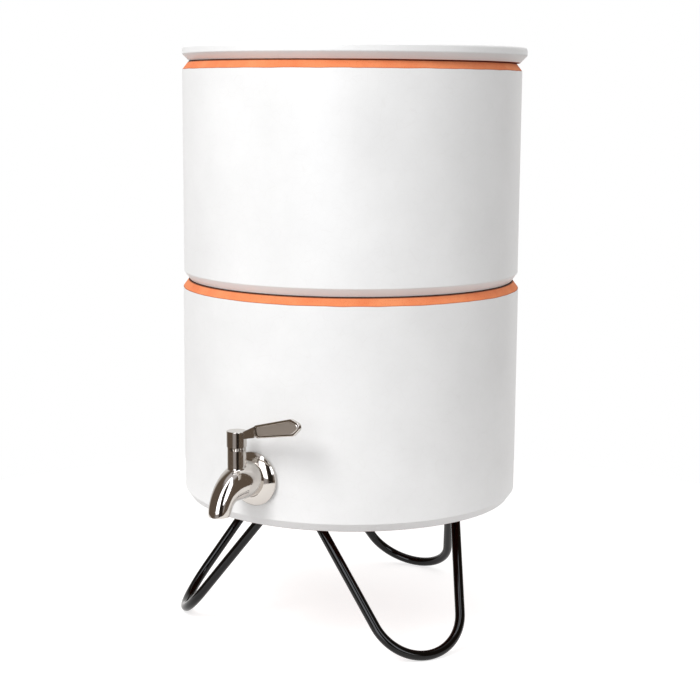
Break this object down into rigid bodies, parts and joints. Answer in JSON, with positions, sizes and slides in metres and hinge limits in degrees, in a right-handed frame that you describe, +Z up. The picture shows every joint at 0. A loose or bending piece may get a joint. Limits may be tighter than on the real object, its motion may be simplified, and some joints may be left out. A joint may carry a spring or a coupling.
{
  "type": "water filter dispenser",
  "caption": "Gravity water filter of stacked glazed clay pots with a lid, a quarter-turn lever tap on the lower pot and a bent-rod stand.",
  "frame": {"origin": "on the pots' axis at the level of the worktop on which the stand's feet rest", "axes": "+Z up along the pots' axis, -Y out along the tap's shank, +X the way the closed lever points"},
  "size_m": [0.2844, 0.3406, 0.4813],
  "materials": {
    "glazed_clay": "semi-gloss white glaze over orange clay, bare at the rims",
    "candle_ceramic": "matte, porous",
    "tap_steel": "cast and polished stainless",
    "rod_enamel": "black gloss",
    "seal_rubber": "matte translucent white silicone",
    "filter_moulding": "satin white"
  },
  "bodies": {
    "dispenser": {"stand_ring": "rod_enamel", "stand_leg_left": "rod_enamel", "stand_leg_right": "rod_enamel", "stand_leg_back": "rod_enamel", "lower_pot": "glazed_clay", "upper_pot": "glazed_clay", "lid": "glazed_clay", "filter_candle": "candle_ceramic", "filter_base": "filter_moulding", "filter_upper_washer": "seal_rubber", "filter_lower_washer": "seal_rubber", "filter_wing_nut": "filter_moulding", "tap_body": "tap_steel", "tap_outer_gasket": "seal_rubber", "tap_inner_gasket": "seal_rubber", "tap_washer": "tap_steel", "tap_lock_nut": "tap_steel", "bonnet_ring": "tap_steel"},
    "tap_lever": {"lever_handle": "tap_steel", "lever_set_screw": "tap_steel", "valve_spindle": "tap_steel", "valve_upper_o_ring": "seal_rubber", "valve_lower_o_ring": "seal_rubber"}
  },
  "joints": [
    {"name": "lever_turn", "type": "hinge", "parent": "dispenser", "child": "tap_lever", "pos_m": [0, -0.1634, 0.1754], "axis": [0, 0, -1], "range_deg": [0, 90]}
  ]
}
